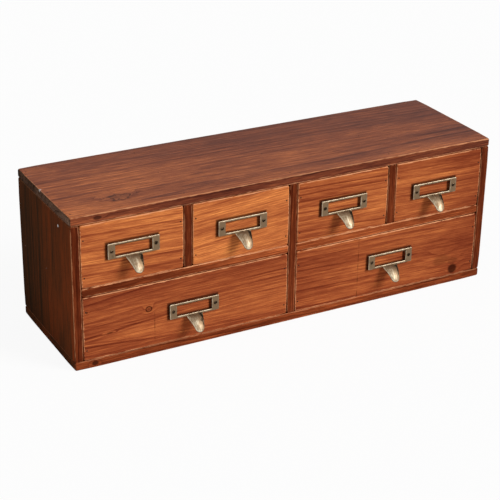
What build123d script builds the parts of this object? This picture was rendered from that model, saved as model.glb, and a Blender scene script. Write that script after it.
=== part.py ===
from build123d import *
from math import asin, cos, sin
import os

# A long wooden tabletop cabinet: four small drawers over two wide ones, each with a cast label pull.
# Millimetres. Origin at the middle of the underside, +X to the right seen from the front,
# +Y to the back, +Z up.

# Carcass
WIDTH = 620.0
DEPTH = 180.0
HEIGHT = 210.0
BOARD = 11.5  # thickness of the top, bottom, sides, shelves and dividers
UPPER_BAY = 86.0  # clear height of the bays for the small drawers
CORNER_RADIUS = 3.0  # upright corners of the top and bottom boards
EDGE_RADIUS = 1.2  # eased outer edges of the carcass boards

# Plywood back, let into rebates in the top, bottom and sides
BACK_PLY = 4.0
BACK_LAP = 5.0
BACK_SLACK = 0.3

# Clearances round a shut drawer
SIDE_GAP = 0.8
TOP_GAP = 1.2
RUNNING_GAP = 0.3
STOP_GAP = 0.3

# Drawer boxes
FRONT_BOARD = 11.0
SIDE_BOARD = 8.0
REAR_BOARD = 8.0
SIDE_DROP = 6.0  # the box stops this far below the top of the front
BOTTOM_PLY = 3.0
GROOVE_DEPTH = 4.0
GROOVE_RISE = 6.0  # underside of the bottom above the lower edge of the drawer
GROOVE_SLACK = 0.2
FRONT_EASE = 1.0  # eased edges of the drawer fronts

# Label pull: a flat frame for a card, with a hooked finger tongue below
PULL_WIDTH = 70.0
PULL_HEIGHT = 21.0
PULL_DEPTH = 4.0
PULL_CORNER = 1.2
PULL_EASE = 0.6
LUG_WIDTH = 10.0  # solid ends of the frame, which take the screws
BAR_HEIGHT = 2.8  # rails of the frame above and below its window
CARD_SLOT = 1.2  # room for a card behind the frame, open at the top
CARD_LAP = 1.4  # how far the card reaches behind the frame
TONGUE_WIDTH = 23.0
TONGUE_TIP = 13.0
TONGUE_REACH = 22.5  # tip in front of the drawer
TONGUE_DROP = 16.3  # tip below the frame
TONGUE_BOW = 3.6  # rise of the tongue along its length
TONGUE_ARCHES = (0.4, 4.2, 5.8, 6.2)  # rise of the tongue across its width, from the bar to the tip
TONGUE_WALL = 2.0
TONGUE_INSET = 1.0  # root of the tongue behind the face of the frame
TRIM_ALLOWANCE = 2.0  # the tongue is made this much too large, then trimmed to its outline

# Slotted round-head screws that hold the pulls
SCREW_HEAD = 4.6
SCREW_RISE = 1.4
SCREW_SHANK = 2.2
SCREW_LENGTH = 12.0
SCREW_SLOT = 0.8
SCREW_SLOT_DEPTH = 0.7
SCREW_SLACK = 0.2  # round the shank, in the pull
SCREW_TURNS = (40.0, 55.0)  # how far the slots of the left and right screws are turned, in degrees

# Brads that hold the boards, and thin pins that hold the back panel
BRAD_LENGTH = 30.0
BRAD_SHANK = 1.4
BRAD_HEAD = 2.0
DRAWER_BRAD_LENGTH = 22.0
PIN_LENGTH = 12.0
PIN_SHANK = 1.0
PIN_HEAD = 1.8
NAIL_HEAD_DEPTH = 0.8
NAIL_SINK = 0.4  # heads are punched this far below the surface
NAIL_SLACK = 0.05
BRAD_INSET = 12.0  # first and last brad of a row, from the front and from the back panel
BRAD_PITCH = 80.0  # greatest spacing of the brads in a row
FRONT_BRAD_TOP = 20.0  # brads in a drawer front, from its top edge
FRONT_BRAD_FOOT = 14.0  # and from its lower edge
REAR_BRAD_INSET = 12.0  # brads into the drawer's rear board, from the ends of the joint
PIN_PITCH = 95.0  # greatest spacing of the pins round the back panel

# The pulls were fitted by hand: how far each sits right of and above the middle of its drawer front
SMALL_PULL_SHIFTS = [(0.0, 2.4), (0.0, 2.8), (0.0, 1.2), (-7.5, -2.0)]
WIDE_PULL_SHIFTS = [(7.0, -0.8), (2.0, 5.0)]

# Planes of the carcass
FRONT = -DEPTH / 2
BACK = DEPTH / 2
BACK_FACE = BACK - BACK_PLY  # inner face of the back panel
INNER_X = WIDTH / 2 - BOARD  # inner face of a side panel
CEILING = HEIGHT - BOARD  # underside of the top board
SHELF_TOP = CEILING - UPPER_BAY
SHELF_FOOT = SHELF_TOP - BOARD
DIVIDER_X = (INNER_X + BOARD / 2) / 2  # middle of an upper divider

# Places on a pull, from its middle
WINDOW_X = PULL_WIDTH / 2 - LUG_WIDTH
WINDOW_Z = PULL_HEIGHT / 2 - BAR_HEIGHT
SCREW_PLACES = [(WINDOW_X + LUG_WIDTH / 2) * side for side in (-1, 1)]

nodes = {}


def board(x, y, z):
    """A flat board between the low and high limits on each axis."""
    middle = Pos(*[(low + high) / 2 for low, high in (x, y, z)])
    return middle * Box(*[high - low for low, high in (x, y, z)])


def eased(edges, radius, wall):
    """The solid that has these edges, with them rounded by less than half of the wall they stand on."""
    return fillet(edges, min(radius, 0.45 * wall))


def front_edges(solid):
    """The edges round the face that looks to the front."""
    return solid.faces().sort_by(Axis.Y)[0].edges()


def nail(length, shank, head, slack=0.0):
    """A nail driven down from the XY plane, or its hole if it is given slack."""
    sink = 0.0 if slack else NAIL_SINK
    seat = NAIL_SINK + NAIL_HEAD_DEPTH + slack
    foot = NAIL_SINK + length + slack
    head_part = Pos(0, 0, -(sink + seat) / 2) * Cylinder(head / 2 + slack, seat - sink)
    shank_part = Pos(0, 0, -(seat + foot) / 2) * Cylinder(shank / 2 + slack, foot - seat)
    return head_part + shank_part


def driven(places, length, shank, head):
    """Nails at places, each a point on a face and the way out of it, with a list of their holes."""
    planes = [Plane(origin=point, z_dir=out) for point, out in places]
    nails = [plane * nail(length, shank, head) for plane in planes]
    holes = [plane * nail(length, shank, head, NAIL_SLACK) for plane in planes]
    return Compound(children=nails), holes


def spread(low, high, pitch):
    """Evenly spaced values from low to high, no further apart than the pitch."""
    steps = int((high - low) // pitch) + 1
    return [low + (high - low) * i / steps for i in range(steps + 1)]


def carcass_boards():
    """The boards of the carcass, by name, before they are nailed."""
    whole_y = (FRONT, BACK)
    inner_y = (FRONT, BACK_FACE)
    upright = (BOARD, CEILING)
    shelf_z = (SHELF_FOOT, SHELF_TOP)
    upper_z = (SHELF_TOP, CEILING)
    half = BOARD / 2
    panel_x = INNER_X + BACK_LAP
    panel = board((-panel_x, panel_x), (BACK_FACE, BACK), (BOARD - BACK_LAP, CEILING + BACK_LAP))
    rebate_x = panel_x + BACK_SLACK
    rebate_z = (BOARD - BACK_LAP - BACK_SLACK, CEILING + BACK_LAP + BACK_SLACK)
    rebate = board((-rebate_x, rebate_x), (BACK_FACE, BACK + BACK_SLACK), rebate_z)

    top = board((-WIDTH / 2, WIDTH / 2), whole_y, (CEILING, HEIGHT))
    top = fillet(top.edges().filter_by(Axis.Z), CORNER_RADIUS)
    top = eased(top.faces().sort_by(Axis.Z)[-1].edges(), EDGE_RADIUS, BOARD)
    bottom = board((-WIDTH / 2, WIDTH / 2), whole_y, (0, BOARD))
    bottom = fillet(bottom.edges().filter_by(Axis.Z), CORNER_RADIUS)
    bottom = eased(bottom.faces().sort_by(Axis.Z)[0].edges(), EDGE_RADIUS, BOARD)
    left = board((-WIDTH / 2, -INNER_X), whole_y, upright)
    left = eased(left.faces().sort_by(Axis.X)[0].edges().filter_by(Axis.Z), EDGE_RADIUS, BOARD)
    right = board((INNER_X, WIDTH / 2), whole_y, upright)
    right = eased(right.faces().sort_by(Axis.X)[-1].edges().filter_by(Axis.Z), EDGE_RADIUS, BOARD)
    return {
        "top_board": top - rebate,
        "bottom_board": bottom - rebate,
        "left_side_panel": left - rebate,
        "right_side_panel": right - rebate,
        "centre_divider": board((-half, half), inner_y, upright),
        "left_shelf": board((-INNER_X, -half), inner_y, shelf_z),
        "right_shelf": board((half, INNER_X), inner_y, shelf_z),
        "left_upper_divider": board((-DIVIDER_X - half, -DIVIDER_X + half), inner_y, upper_z),
        "right_upper_divider": board((DIVIDER_X - half, DIVIDER_X + half), inner_y, upper_z),
        "back_panel": panel,
    }


def carcass_brad_places():
    """Where the brads go through the top, the bottom, the sides and the shelves."""
    side_x = WIDTH / 2 - BOARD / 2
    shelf_z = (SHELF_FOOT + SHELF_TOP) / 2
    places = []
    for y in spread(FRONT + BRAD_INSET, BACK_FACE - BRAD_INSET, BRAD_PITCH):
        for x in (-side_x, -DIVIDER_X, 0, DIVIDER_X, side_x):
            places.append(((x, y, HEIGHT), (0, 0, 1)))
        for x in (-side_x, 0, side_x):
            places.append(((x, y, 0), (0, 0, -1)))
        for x in (-DIVIDER_X, DIVIDER_X):
            places.append(((x, y, SHELF_FOOT), (0, 0, -1)))
        places.append(((-WIDTH / 2, y, shelf_z), (-1, 0, 0)))
        places.append(((WIDTH / 2, y, shelf_z), (1, 0, 0)))
    return places


def back_pin_places():
    """Where the pins go round the edge of the back panel, in the middle of its lap."""
    x = INNER_X + BACK_LAP / 2
    low = BOARD - BACK_LAP / 2
    high = CEILING + BACK_LAP / 2
    points = [(across, up) for across in spread(-x, x, PIN_PITCH) for up in (low, high)]
    points += [(across, up) for across in (-x, x) for up in spread(low, high, PIN_PITCH)[1:-1]]
    return [((across, BACK, up), (0, 1, 0)) for across, up in points]


def add_carcass():
    """The carcass boards, nailed together."""
    brads, brad_holes = driven(carcass_brad_places(), BRAD_LENGTH, BRAD_SHANK, BRAD_HEAD)
    pins, pin_holes = driven(back_pin_places(), PIN_LENGTH, PIN_SHANK, PIN_HEAD)
    for name, plank in carcass_boards().items():
        nodes[name] = plank - brad_holes - pin_holes
    nodes["carcass_brads"] = brads
    nodes["back_panel_pins"] = pins


def tongue_section(centre, radius, outward, arch):
    """One section of the tongue, square to its curve: a thin band that arches outwards."""
    plane = Plane(origin=centre, x_dir=(1, 0, 0), z_dir=Vector(1, 0, 0).cross(outward))
    half = TONGUE_WIDTH / 2 + TRIM_ALLOWANCE
    rim = radius - arch
    outer = ThreePointArc((-half, rim), (0, radius), (half, rim))
    inner = ThreePointArc((half, rim - TONGUE_WALL), (0, radius - TONGUE_WALL), (-half, rim - TONGUE_WALL))
    ends = [Line((half, rim), (half, rim - TONGUE_WALL)), Line((-half, rim - TONGUE_WALL), (-half, rim))]
    return plane * make_face([outer, ends[0], inner, ends[1]])


def tongue():
    """The finger tongue: a bowed band that runs out and down from the lower bar of the frame."""
    root = Vector(0, TONGUE_INSET - PULL_DEPTH, BAR_HEIGHT / 2 - PULL_HEIGHT / 2)
    tip = Vector(0, -TONGUE_REACH, -PULL_HEIGHT / 2 - TONGUE_DROP)
    chord = (tip - root).length
    along = (tip - root).normalized()
    outward = along.cross(Vector(1, 0, 0))
    radius = (chord**2 / 4 + TONGUE_BOW**2) / (2 * TONGUE_BOW)
    centre = (root + tip) * 0.5 - outward * (radius - TONGUE_BOW)
    half_turn = asin(chord / 2 / radius)
    whole_turn = 2 * half_turn + TRIM_ALLOWANCE / radius

    # It is nearly flat where it leaves the bar, and arches as it goes down
    sections = []
    for share, arch in zip((0, 1 / 3, 2 / 3, 1), TONGUE_ARCHES):
        turn = share * whole_turn - half_turn
        sections.append(tongue_section(centre, radius, outward * cos(turn) + along * sin(turn), arch))
    band = loft(sections)

    # Seen square to its chord, the tongue narrows to a round tip
    chord_plane = Plane(origin=root, x_dir=(1, 0, 0), z_dir=outward)
    rounding = Pos(0, TONGUE_TIP / 2 - chord) * Circle(TONGUE_TIP / 2)
    outline = make_hull(Circle(TONGUE_WIDTH / 2).edges() + rounding.edges())
    return band & extrude(chord_plane * outline, chord, both=True)


def label_pull():
    """One pull, with its back on the XZ plane and its front towards -Y."""
    half = PULL_HEIGHT / 2
    frame = board((-PULL_WIDTH / 2, PULL_WIDTH / 2), (-PULL_DEPTH, 0), (-half, half))
    frame = fillet(frame.edges().filter_by(Axis.Y), PULL_CORNER)
    frame = frame - board((-WINDOW_X, WINDOW_X), (-PULL_DEPTH, 0), (-WINDOW_Z, WINDOW_Z))
    frame = eased(front_edges(frame), PULL_EASE, PULL_DEPTH - CARD_SLOT)
    slot_x = WINDOW_X + CARD_LAP
    card_slot = board((-slot_x, slot_x), (-CARD_SLOT, 0), (-WINDOW_Z - CARD_LAP, half))
    hole = Cylinder(SCREW_SHANK / 2 + SCREW_SLACK, 2 * PULL_DEPTH, rotation=(90, 0, 0))
    holes = [Pos(place, 0, 0) * hole for place in SCREW_PLACES]
    return frame - card_slot - holes + tongue()


def screw(turn):
    """A slotted round-head screw that points along +Y, with its head seated on the XZ plane."""
    shank = Pos(0, SCREW_LENGTH / 2, 0) * Cylinder(SCREW_SHANK / 2, SCREW_LENGTH, rotation=(90, 0, 0))
    head = Pos(0, -SCREW_RISE / 2, 0) * Cylinder(SCREW_HEAD / 2, SCREW_RISE, rotation=(90, 0, 0))
    head = eased(head.edges().sort_by(Axis.Y)[0], SCREW_RISE, min(2 * SCREW_RISE, SCREW_HEAD / 2))
    slot = Pos(0, -SCREW_RISE, 0) * Box(2 * SCREW_HEAD, 2 * SCREW_SLOT_DEPTH, SCREW_SLOT)
    return head - Rot(0, turn, 0) * slot + shank


def add_drawer(name, bay_x, bay_z, pull_shift):
    """One drawer, shut in its bay, with its front flush with the carcass."""
    x = (bay_x[0] + SIDE_GAP, bay_x[1] - SIDE_GAP)
    z = (bay_z[0] + RUNNING_GAP, bay_z[1] - TOP_GAP)
    box_y = (FRONT + FRONT_BOARD, BACK_FACE - STOP_GAP)
    box_top = z[1] - SIDE_DROP
    inner_x = (x[0] + SIDE_BOARD, x[1] - SIDE_BOARD)
    floor = z[0] + GROOVE_RISE
    rear_y = (box_y[1] - REAR_BOARD, box_y[1])

    reach = GROOVE_DEPTH - GROOVE_SLACK
    bottom_x = (inner_x[0] - reach, inner_x[1] + reach)
    bottom_y = (box_y[0] - reach, box_y[1])
    bottom = board(bottom_x, bottom_y, (floor, floor + BOTTOM_PLY))
    groove = board(
        (bottom_x[0] - GROOVE_SLACK, bottom_x[1] + GROOVE_SLACK),
        (bottom_y[0] - GROOVE_SLACK, bottom_y[1] + GROOVE_SLACK),
        (floor, floor + BOTTOM_PLY + GROOVE_SLACK),
    )
    front = board(x, (FRONT, box_y[0]), z)
    front = eased(front_edges(front), FRONT_EASE, FRONT_BOARD)
    left = board((x[0], inner_x[0]), box_y, (z[0], box_top))
    right = board((inner_x[1], x[1]), box_y, (z[0], box_top))
    rear = board(inner_x, rear_y, (floor + BOTTOM_PLY, box_top))

    pull_x = (x[0] + x[1]) / 2 + pull_shift[0]
    pull_z = (z[0] + z[1]) / 2 + pull_shift[1]
    seat = FRONT - PULL_DEPTH
    seats = [Pos(pull_x + place, seat, pull_z) for place in SCREW_PLACES]
    screws = [spot * screw(turn) for spot, turn in zip(seats, SCREW_TURNS)]
    pilot = Cylinder(SCREW_SHANK / 2 + NAIL_SLACK, 2 * (SCREW_LENGTH + NAIL_SLACK), rotation=(90, 0, 0))
    pilots = [spot * pilot for spot in seats]

    places = []
    rear_middle = (rear_y[0] + rear_y[1]) / 2
    for edge_x, inset, out in ((x[0], SIDE_BOARD / 2, -1), (x[1], -SIDE_BOARD / 2, 1)):
        for brad_z in (z[1] - FRONT_BRAD_TOP, z[0] + FRONT_BRAD_FOOT):
            places.append(((edge_x + inset, FRONT, brad_z), (0, -1, 0)))
        for brad_z in (floor + BOTTOM_PLY + REAR_BRAD_INSET, box_top - REAR_BRAD_INSET):
            places.append(((edge_x, rear_middle, brad_z), (out, 0, 0)))
    for brad_x in (inner_x[0] + REAR_BRAD_INSET, inner_x[1] - REAR_BRAD_INSET):
        places.append(((brad_x, rear_middle, floor), (0, 0, -1)))
    brads, holes = driven(places, DRAWER_BRAD_LENGTH, BRAD_SHANK, BRAD_HEAD)

    nodes[name + "_front"] = front - groove - holes - pilots
    nodes[name + "_left_side"] = left - groove - holes
    nodes[name + "_right_side"] = right - groove - holes
    nodes[name + "_rear"] = rear - holes
    nodes[name + "_bottom"] = bottom - holes
    nodes[name + "_label_pull"] = Pos(pull_x, FRONT, pull_z) * label_pull()
    nodes[name + "_pull_screws"] = Compound(children=screws)
    nodes[name + "_brads"] = brads


def add_drawers():
    """Four small drawers in the upper bays and two wide ones below, from left to right."""
    half = BOARD / 2
    small_bays = [
        (-INNER_X, -DIVIDER_X - half),
        (-DIVIDER_X + half, -half),
        (half, DIVIDER_X - half),
        (DIVIDER_X + half, INNER_X),
    ]
    for number, (bay_x, shift) in enumerate(zip(small_bays, SMALL_PULL_SHIFTS), 1):
        add_drawer(f"small_drawer_{number}", bay_x, (SHELF_TOP, CEILING), shift)
    wide_bays = {"left": (-INNER_X, -half), "right": (half, INNER_X)}
    for (side, bay_x), shift in zip(wide_bays.items(), WIDE_PULL_SHIFTS):
        add_drawer(f"wide_drawer_{side}", bay_x, (BOARD, SHELF_FOOT), shift)


add_carcass()
add_drawers()
os.makedirs("parts", exist_ok=True)
for name, shape in nodes.items():
    export_step(shape, f"parts/{name}.step")
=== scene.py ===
"""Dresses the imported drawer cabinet: worn stained pine, aged brass label pulls and a plain pale stage."""

import math
from collections import namedtuple

import bmesh
import bpy
import numpy as np
from bpy.props import FloatProperty, FloatVectorProperty, IntProperty, PointerProperty
from mathutils import Matrix, Vector


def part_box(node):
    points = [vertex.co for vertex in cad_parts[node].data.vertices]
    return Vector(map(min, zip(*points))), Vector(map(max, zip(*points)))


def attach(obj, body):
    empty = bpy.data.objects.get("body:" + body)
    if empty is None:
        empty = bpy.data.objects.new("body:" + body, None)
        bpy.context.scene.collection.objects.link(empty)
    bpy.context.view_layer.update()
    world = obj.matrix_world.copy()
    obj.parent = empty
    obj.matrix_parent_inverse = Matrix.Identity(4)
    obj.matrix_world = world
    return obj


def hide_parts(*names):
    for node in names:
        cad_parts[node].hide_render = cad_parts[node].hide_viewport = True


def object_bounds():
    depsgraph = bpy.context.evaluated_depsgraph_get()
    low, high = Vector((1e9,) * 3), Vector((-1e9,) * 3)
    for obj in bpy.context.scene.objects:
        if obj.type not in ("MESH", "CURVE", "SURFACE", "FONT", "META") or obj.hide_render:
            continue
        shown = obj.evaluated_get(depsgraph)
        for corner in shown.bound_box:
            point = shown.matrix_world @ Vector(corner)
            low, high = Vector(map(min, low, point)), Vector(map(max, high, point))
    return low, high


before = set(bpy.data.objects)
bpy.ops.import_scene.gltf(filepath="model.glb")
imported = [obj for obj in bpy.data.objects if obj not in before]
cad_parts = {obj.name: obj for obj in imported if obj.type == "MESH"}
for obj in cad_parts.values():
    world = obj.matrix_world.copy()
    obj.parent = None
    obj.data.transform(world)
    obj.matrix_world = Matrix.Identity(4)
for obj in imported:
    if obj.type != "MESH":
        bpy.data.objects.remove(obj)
CAD_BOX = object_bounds()

bl_info = {
    "name": "Tabletop drawer cabinet",
    "version": (1, 0, 0),
    "blender": (4, 5, 0),
    "location": "View3D > Sidebar > Cabinet",
    "description": "Dresses a worn pine cabinet with brass label pulls around its packed solids",
    "category": "Object",
}

MM = 0.001
X, Y, Z = 0, 1, 2
SMALL_DRAWERS = [f"small_drawer_{number}" for number in (1, 2, 3, 4)]
WIDE_DRAWERS = ["wide_drawer_left", "wide_drawer_right"]
DRAWERS = SMALL_DRAWERS + WIDE_DRAWERS
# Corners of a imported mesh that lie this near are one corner.
MERGE_WITHIN = 0.001 * MM
# A place or a radius so far off that it never shows.
FAR_AWAY = 9.0

# Rows of faces at each edge of a board, how far in they reach, at most as a share, and the size of the rest.
EDGE_ROWS = 6
EDGE_ZONE = 3.2 * MM
EDGE_ZONE_SHARE = 0.3
FACE_PITCH = 22 * MM
# The largest share of a board's thickness that one edge rounds off.
ROUND_SHARE = 0.45
# The distances from a corner between which the rounding grows to that of the corner.
CORNER_REACH = (11 * MM, 1.5 * MM)
# Room round the back panel in its rebate, and how far the cut runs out behind it.
REBATE_SLACK = 0.3 * MM
REBATE_RUN_OUT = 5 * MM
# Faces that meet at more than this angle keep a sharp edge.
SMOOTH_ANGLE = math.radians(32)
# How squarely a face looks along an axis before it takes the board's other finish.
OTHER_FACING = 0.6
# How squarely a corner looks along the fibres between long grain and a sawn end.
END_FACING = (0.55, 0.85)

# The frame of a pull: its depth and height, the width of its lugs and the height of its bars.
FRAME_DEPTH = 4 * MM
FRAME_HEIGHT = 21 * MM
LUG_WIDTH = 10 * MM
BAR_HEIGHT = 2.8 * MM
# How bright rubbing and a painted highlight keep the tongue, and the amounts of handling between which it
# begins.
RUBBED_SHINE_AND_HIGHLIGHT = 0.46
TONGUE_START = (1 / 6, 1 / 3)
# How far the dirt and painted shade beside the wood reach, how dark they are, and the painted shade on faces
# that look right or down.
DIRT_AND_SHADE_DEPTH = 3 * MM
WOOD_DIRT_AND_SHADE = 1.6
TURNED_AWAY_SHADE = 1.1
# The painted shade on the right side of a tongue, and the distances from its middle between which it sets in.
TONGUE_SIDE_SHADE = 0.65
TONGUE_LIT = (1 * MM, 8 * MM)
# The percentage of corners that stand out less than a full ridge, and the most that a corner counts.
RIDGE_PERCENT = 96
RIDGE_LIMIT = 1.5
# How far behind the tip of its solid the middle of a screw's dome sits, and its slot's turns in degrees.
SCREW_SET_BACK = 1.4 * MM
SLOT_TURNS = (24, 36, 48)
# The dirt on the dome of a screw and the painted shade in its slot, and how far below the dome the slot
# begins.
DULL_HEAD = -0.38
SHADED_SLOT = -1.5
SLOT_BEGINS = 0.08 * MM
# The share of a fastener's length that is looked at to tell its head from its tip.
HEAD_SLICE = 0.02
# How far the middle of a brad's head stands out of its solid, and how flat the head is.
BRAD_STANDS = 0.35 * MM
BRAD_FLATNESS = 0.22

# How much thinner the stain is on the pale heart of a flame, and how much deeper on the thin line round it.
PALE_HEART = 0.26
FLAME_LINE = 0.6
FLAME_LINE_WIDTH = 2.4 * MM
# The change of the log's radius over which a flame fades, and the run within which the log narrows.
FLAME_FADE = (-4 * MM, 11 * MM)
TAPER_RUN = 120 * MM
# The distances from the middle of a glue seam between which it darkens, and how softly its ends fade.
SEAM_LINE = (0.8 * MM, 0.2 * MM)
SEAM_END = 3 * MM
# The distances from the frame of a pull between which painted shadow, old polish and dirt darken the wood,
# and how dark they get.
SHADOW_AND_GRIME_REACH = (2.6 * MM, 0.4 * MM)
SHADOW_AND_GRIME = 0.75
# How far left of and below the outer and inner outline of the frame the painted shadow and dirt lie; inside
# the window it is painted shadow of the lugs and bars.
OUTER_SHADOW_AND_GRIME = (0.8 * MM, -0.3 * MM)
INNER_SHADOW = (1.4 * MM, 0.6 * MM)

# Where the light of each lamp travels, and how wide the lamp looks in degrees.
KEY_LIGHT = ((-0.55, 0.65, -0.54), 28)
FILL_LIGHT = ((0.8, 0.35, -0.35), 60)
# Half the floor's width, how far it lies below the cabinet, and how much of it goes to white in the view.
FLOOR_REACH = 6.0
FLOOR_DROP = 0.2 * MM
FLOOR_GLOW = 0.93
# The width of the camera's sensor in millimetres.
SENSOR_WIDTH = 36

# How a board was cut: the axes along its fibres and through it, how deep it is stained, where its middle lies
# in the log (along, across and through, in metres), how far the log leans in degrees, and its knots.
# The seam is the place of a glue seam along X and the heights between which it shows.
# The fade is how much deeper the stain gets from one side of the board to the other, along X, Y and Z.
# The lip is how much deeper it is on the front edge, and the rim how much deeper at both ends of X, Y and Z.
# The flame is the log's taper, how uneven its rings and stain are and the radius of its pale heart.
# The pull is the middle of the frame that the board carries.
CUT_FIELDS = "grain through depth heart lean knots seam fade lip flame rim pull"
NO_SEAM = (FAR_AWAY, 0, 1)
NO_FLAME = (0, 1, -FAR_AWAY)
NO_PULL = (FAR_AWAY,) * 3
Cut = namedtuple("Cut", CUT_FIELDS, defaults=((), NO_SEAM, (0, 0, 0), 0, NO_FLAME, (0, 0, 0), NO_PULL))
# A knot's place, half width, depth of colour, which is below zero for a pale chip and for the painted glint
# of a brad head, strength of its dark ring, length along the grain as a share of its width, and how ragged
# its outline is.
Knot = namedtuple("Knot", "place size depth ring length ragged", defaults=(0, 1.25, 0.3))
KNOT_NAMES = ("knot_1", "knot_2", "knot_3")
NO_KNOT = Knot((FAR_AWAY,) * 3, 1.0, 0.0)
# How strong the rings, streaks and blotches of a finish are, and its rubbed edges, roughness, gloss and bump.
Finish = namedtuple("Finish", "ring streak blotch worn roughness gloss bump")

CARCASS_CUTS = {
    "top_board": Cut(
        X, Z, 0.5, (0.1, 0.075, 0.05), (1.0, 0.7),
        (
            Knot((-0.230, -0.054, 0.21), 9.5 * MM, 0.32, 0.85, 1.5, 2.5),
            Knot((-0.31, 0.010, 0.2095), 2.4 * MM, -0.5),
            Knot((-0.274, -0.09, 0.2045), 3.2 * MM, 0.85, 0, 2.0),
        ),
        fade=(0.4, 0.7, 0), lip=0.85,
    ),
    "bottom_board": Cut(
        X, Z, 0.38, (0.3, 0.02, -0.06), (1.0, -0.5), (Knot((-0.283, -0.09, 0.006), 4 * MM, 0.9),),
    ),
    "left_side_panel": Cut(
        # This pale knot is a painted glint of a brad head, pure white.
        Z, X, 0.41, (0.0, 0.06, -0.08), (0.6, 0.3), (Knot((-0.31, -0.05, 0.185), 1.6 * MM, -1),),
        fade=(0, 0.5, 0), lip=0.52,
    ),
    "right_side_panel": Cut(Z, X, 0.45, (0.2, -0.05, 0.07), (0.5, -0.6), lip=0.25),
    "centre_divider": Cut(Z, X, 0.66, (0.1, 0.03, 0.06), (0.4, 0.5)),
    "left_shelf": Cut(X, Z, 0.2, (0.4, 0.05, 0.05), (0.7, 0.5), fade=(-0.7, 0, 0)),
    "right_shelf": Cut(X, Z, 0.16, (-0.3, 0.02, -0.05), (0.5, 0.6)),
    "left_upper_divider": Cut(Z, X, 0.7, (0.5, 0.04, 0.05), (0.4, 0.5)),
    "right_upper_divider": Cut(Z, X, 0.66, (-0.5, 0.05, 0.06), (0.5, 0.3)),
}
BACK_CUT = Cut(X, Y, 0.3, (0.2, 0.05, 0.14), (1.5, 1.0))
FRONT_CUTS = {
    "small_drawer_1": Cut(X, Y, 0.28, (0.10, 0.060, 0.040), (2.0, 0.5), fade=(0, 0, -0.4)),
    "small_drawer_2": Cut(X, Y, 0.19, (0.60, 0.032, 0.034), (-4.0, 0.8), fade=(0.1, 0, 0.12)),
    "small_drawer_3": Cut(X, Y, 0.29, (-0.40, -0.085, 0.030), (0.8, 0.4), fade=(-0.1, 0, 0.1)),
    "small_drawer_4": Cut(X, Y, 0.54, (0.90, -0.070, 0.036), (1.6, -0.5), fade=(0.1, 0, 0)),
    "wide_drawer_left": Cut(
        X, Y, 0.44, (0.0853, 0.0190, 0.0085), (0.0, 0.0),
        (
            Knot((-0.208, -0.09, 0.065), 4.2 * MM, 0.3, 0.95, 1.1),
            Knot((-0.262, -0.09, 0.044), 1.0 * MM, 0.8, 0, 5.0),
            Knot((-0.292, -0.09, 0.079), 1.8 * MM, 0.7, 0, 1.0),
        ),
        seam=(-0.200, 0.020, 0.062), fade=(-0.2, 0, 0), flame=(0.095, 0.4, 11 * MM), rim=(0, 0, 0.29),
    ),
    "wide_drawer_right": Cut(
        X, Y, 0.47, (-0.70, 0.080, 0.050), (1.2, 0.4),
        (
            Knot((0.263, -0.09, 0.021), 8.4 * MM, 0.95, 0, 1.0),
            Knot((0.243, -0.09, 0.038), 9.0 * MM, 0.35, 0, 1.8),
            Knot((0.262, -0.09, 0.034), 6.0 * MM, 0.35, 0, 1.6),
        ),
        seam=(0.104, 0.0, 0.110), fade=(0.05, 0, 0.05), rim=(0.28, 0, 0),
    ),
}
# The slot, finish and cut of each board of a drawer's box, and how far along the log the next drawer's lie.
BOX_BOARDS = {
    "left_side": ("bare_pine", "box_pine", Cut(Y, X, 0.3, (0, 0.05, 0.05), (1.2, 0.8))),
    "right_side": ("bare_pine", "box_pine", Cut(Y, X, 0.3, (0, -0.06, 0.04), (1.2, 0.8))),
    "rear": ("bare_pine", "box_pine", Cut(X, Y, 0.3, (0, 0.06, 0.05), (1.4, 0.6))),
    "bottom": ("plywood", "plywood_veneer", Cut(X, Z, 0.25, (0, 0.03, 0.15), (1.2, 1.4))),
}
NEXT_ALONG = 0.37
# Whose light and dark colours each wood finish takes, and what sets it apart.
PINES = {
    "edge_pine": ("carcass", Finish(0.25, 0.7, 0.9, 0.4, 0.5, 0.01, 0.22)),
    "rubbed_shelf_pine": ("carcass", Finish(0.25, 0.7, 0.9, 1.0, 0.5, 0.01, 0.22)),
    "polished_top_pine": ("top", Finish(0.35, 1.15, 1.3, 0.7, 0.45, 0.06, 0.2)),
    "matt_side_pine": ("side", Finish(0.22, 0.55, 0.62, 0.22, 0.6, 0.0, 0.25)),
    "sawn_end_pine": ("end", Finish(0.3, 0.9, 1.1, 0.0, 0.8, 0.0, 0.3)),
    "plywood_veneer": ("plywood", Finish(0.4, 0.4, 0.4, 0.0, 0.6, 0.15, 0.2)),
    "front_pine": ("drawer", Finish(0.3, 0.68, 1.1, 1.0, 0.48, 0.0, 0.22)),
    "box_pine": ("bare", Finish(0.38, 0.4, 0.6, 0.0, 0.62, 0.2, 0.25)),
}
# The finish of the carcass boards that differ from the rest.
BOARD_FINISHES = {
    "top_board": "polished_top_pine",
    "left_side_panel": "matt_side_pine",
    "right_side_panel": "matt_side_pine",
    "left_shelf": "rubbed_shelf_pine",
    "right_shelf": "rubbed_shelf_pine",
}
# The finish of some faces of a board, and the axis that those faces look along.
OTHER_FACES = {
    "top_board": ("sawn_end_pine", X),
    "bottom_board": ("matt_side_pine", X),
    "left_side_panel": ("edge_pine", Y),
    "right_side_panel": ("edge_pine", Y),
}
REBATED = ("top_board", "bottom_board", "left_side_panel", "right_side_panel")


def tone(code):
    """A colour from its six hexadecimal digits, in linear light."""
    shares = [int(code[place:place + 2], 16) / 255 for place in (0, 2, 4)]
    return tuple(s / 12.92 if s <= 0.04045 else ((s + 0.055) / 1.055) ** 2.4 for s in shares)


def length(title, description, size):
    """A setting that holds a length in metres."""
    return FloatProperty(name=title, description=description, default=size, unit="LENGTH")


def angle(title, description, degrees):
    """A setting that holds an angle."""
    return FloatProperty(name=title, description=description, default=math.radians(degrees), unit="ROTATION")


def colour(title, description, code):
    """A setting that holds a colour."""
    return FloatVectorProperty(name=title, description=description, default=tone(code), subtype="COLOR")


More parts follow.
